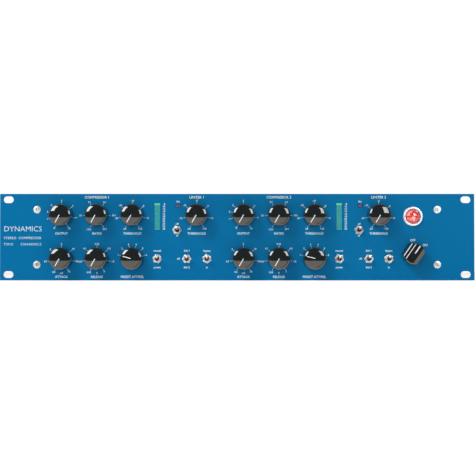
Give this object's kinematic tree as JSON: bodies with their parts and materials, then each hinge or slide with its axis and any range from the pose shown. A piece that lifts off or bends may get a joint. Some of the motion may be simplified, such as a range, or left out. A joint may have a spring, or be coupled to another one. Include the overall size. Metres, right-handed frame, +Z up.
{
  "type": "rack compressor",
  "caption": "Rack-mounted audio compressor and limiter: blue front panel with turning knobs, toggle switches, meters and a power knob on a shallow steel case with rear connectors.",
  "frame": {"origin": "under the middle of the unit: halfway across the panel, halfway from the knob tips to the fuse cap, and level with the panel's lower edge", "axes": "+X to the right seen from the front, +Y from the front panel to the rear, +Z up; the front panel faces -Y"},
  "size_m": [0.4826, 0.2324, 0.0881],
  "materials": {
    "panel_blue": "satin",
    "knob_black": "gloss",
    "chrome": "polished",
    "zinc_steel": "satin",
    "jewel_red": "clear gloss",
    "light_green": "gloss",
    "light_red": "gloss",
    "board_green": "satin",
    "valve_glass": "clear",
    "transformer_can": "satin",
    "winding": "wrapped tape",
    "plastic_black": "satin",
    "connector_metal": "satin nickel"
  },
  "bodies": {
    "case": {"front_panel": "panel_blue", "panel_screw_lower_left": "chrome", "panel_screw_lower_right": "chrome", "panel_screw_upper_left": "chrome", "panel_screw_upper_right": "chrome", "control_board_1": "board_green", "gain_meter_1": "light_green", "limit_light_1": "light_red", "control_board_2": "board_green", "gain_meter_2": "light_green", "limit_light_2": "light_red", "power_switch": "plastic_black", "lamp_bezel": "chrome", "lamp_jewel": "jewel_red", "lamp_holder": "plastic_black", "chassis_tray": "zinc_steel", "top_cover": "zinc_steel", "rear_panel": "zinc_steel", "input_socket_1": "connector_metal", "output_socket_1": "connector_metal", "input_socket_2": "connector_metal", "output_socket_2": "connector_metal", "mains_inlet": "plastic_black", "fuse_holder": "plastic_black", "audio_board_1": "board_green", "input_transformer_1": "transformer_can", "output_transformer_1": "transformer_can", "audio_board_2": "board_green", "input_transformer_2": "transformer_can", "output_transformer_2": "transformer_can", "valve_1": "valve_glass", "valve_2": "valve_glass", "valve_3": "valve_glass", "valve_4": "valve_glass", "mains_transformer": "winding", "transformer_clamp": "zinc_steel", "power_board": "board_green"},
    "output_knob_1": {"output_knob_1": "knob_black"},
    "ratio_knob_1": {"ratio_knob_1": "knob_black"},
    "threshold_knob_1": {"threshold_knob_1": "knob_black"},
    "limit_knob_1": {"limit_knob_1": "knob_black"},
    "attack_knob_1": {"attack_knob_1": "knob_black"},
    "release_knob_1": {"release_knob_1": "knob_black"},
    "preset_knob_1": {"preset_knob_1": "knob_black"},
    "output_knob_2": {"output_knob_2": "knob_black"},
    "ratio_knob_2": {"ratio_knob_2": "knob_black"},
    "threshold_knob_2": {"threshold_knob_2": "knob_black"},
    "limit_knob_2": {"limit_knob_2": "knob_black"},
    "attack_knob_2": {"attack_knob_2": "knob_black"},
    "release_knob_2": {"release_knob_2": "knob_black"},
    "preset_knob_2": {"preset_knob_2": "knob_black"},
    "power_knob": {"power_knob": "knob_black"},
    "limit_lever_1": {"limit_lever_1": "chrome"},
    "preset_lever_1": {"preset_lever_1": "chrome"},
    "link_lever_1": {"link_lever_1": "chrome"},
    "bypass_lever_1": {"bypass_lever_1": "chrome"},
    "limit_lever_2": {"limit_lever_2": "chrome"},
    "preset_lever_2": {"preset_lever_2": "chrome"},
    "link_lever_2": {"link_lever_2": "chrome"},
    "bypass_lever_2": {"bypass_lever_2": "chrome"}
  },
  "joints": [
    {"name": "output_1_turn", "type": "hinge", "parent": "case", "child": "output_knob_1", "pos_m": [-0.1785, -0.0972, 0.06605], "axis": [0, 1, 0], "range_deg": [0, 300]},
    {"name": "ratio_1_turn", "type": "hinge", "parent": "case", "child": "ratio_knob_1", "pos_m": [-0.1425, -0.0972, 0.06605], "axis": [0, 1, 0], "range_deg": [0, 300]},
    {"name": "threshold_1_turn", "type": "hinge", "parent": "case", "child": "threshold_knob_1", "pos_m": [-0.1065, -0.0972, 0.06605], "axis": [0, 1, 0], "range_deg": [0, 300]},
    {"name": "limit_1_turn", "type": "hinge", "parent": "case", "child": "limit_knob_1", "pos_m": [-0.041, -0.0972, 0.06605], "axis": [0, 1, 0], "range_deg": [0, 300]},
    {"name": "attack_1_turn", "type": "hinge", "parent": "case", "child": "attack_knob_1", "pos_m": [-0.1785, -0.0972, 0.02205], "axis": [0, 1, 0], "range_deg": [0, 300]},
    {"name": "release_1_turn", "type": "hinge", "parent": "case", "child": "release_knob_1", "pos_m": [-0.1425, -0.0972, 0.02205], "axis": [0, 1, 0], "range_deg": [0, 300]},
    {"name": "preset_1_turn", "type": "hinge", "parent": "case", "child": "preset_knob_1", "pos_m": [-0.1065, -0.0972, 0.02205], "axis": [0, 1, 0], "range_deg": [0, 150]},
    {"name": "output_2_turn", "type": "hinge", "parent": "case", "child": "output_knob_2", "pos_m": [0.0065, -0.0972, 0.06605], "axis": [0, 1, 0], "range_deg": [0, 300]},
    {"name": "ratio_2_turn", "type": "hinge", "parent": "case", "child": "ratio_knob_2", "pos_m": [0.0425, -0.0972, 0.06605], "axis": [0, 1, 0], "range_deg": [0, 300]},
    {"name": "threshold_2_turn", "type": "hinge", "parent": "case", "child": "threshold_knob_2", "pos_m": [0.0785, -0.0972, 0.06605], "axis": [0, 1, 0], "range_deg": [0, 300]},
    {"name": "limit_2_turn", "type": "hinge", "parent": "case", "child": "limit_knob_2", "pos_m": [0.144, -0.0972, 0.06605], "axis": [0, 1, 0], "range_deg": [0, 300]},
    {"name": "attack_2_turn", "type": "hinge", "parent": "case", "child": "attack_knob_2", "pos_m": [0.0065, -0.0972, 0.02205], "axis": [0, 1, 0], "range_deg": [0, 300]},
    {"name": "release_2_turn", "type": "hinge", "parent": "case", "child": "release_knob_2", "pos_m": [0.0425, -0.0972, 0.02205], "axis": [0, 1, 0], "range_deg": [0, 300]},
    {"name": "preset_2_turn", "type": "hinge", "parent": "case", "child": "preset_knob_2", "pos_m": [0.0785, -0.0972, 0.02205], "axis": [0, 1, 0], "range_deg": [0, 150]},
    {"name": "power_turn", "type": "hinge", "parent": "case", "child": "power_knob", "pos_m": [0.1783, -0.0972, 0.02675], "axis": [0, 1, 0], "range_deg": [-35, 0]},
    {"name": "limit_1_flick", "type": "hinge", "parent": "case", "child": "limit_lever_1", "pos_m": [-0.061, -0.1007, 0.05125], "axis": [1, 0, 0], "range_deg": [0, 25]},
    {"name": "preset_1_flick", "type": "hinge", "parent": "case", "child": "preset_lever_1", "pos_m": [-0.0812, -0.1007, 0.02205], "axis": [1, 0, 0], "range_deg": [0, 25]},
    {"name": "link_1_flick", "type": "hinge", "parent": "case", "child": "link_lever_1", "pos_m": [-0.0511, -0.1007, 0.02205], "axis": [1, 0, 0], "range_deg": [0, 25]},
    {"name": "bypass_1_flick", "type": "hinge", "parent": "case", "child": "bypass_lever_1", "pos_m": [-0.0307, -0.1007, 0.02205], "axis": [1, 0, 0], "range_deg": [0, 25]},
    {"name": "limit_2_flick", "type": "hinge", "parent": "case", "child": "limit_lever_2", "pos_m": [0.124, -0.1007, 0.05125], "axis": [1, 0, 0], "range_deg": [0, 25]},
    {"name": "preset_2_flick", "type": "hinge", "parent": "case", "child": "preset_lever_2", "pos_m": [0.1038, -0.1007, 0.02205], "axis": [1, 0, 0], "range_deg": [0, 25]},
    {"name": "link_2_flick", "type": "hinge", "parent": "case", "child": "link_lever_2", "pos_m": [0.1339, -0.1007, 0.02205], "axis": [1, 0, 0], "range_deg": [0, 25]},
    {"name": "bypass_2_flick", "type": "hinge", "parent": "case", "child": "bypass_lever_2", "pos_m": [0.1543, -0.1007, 0.02205], "axis": [1, 0, 0], "range_deg": [0, 25]}
  ]
}
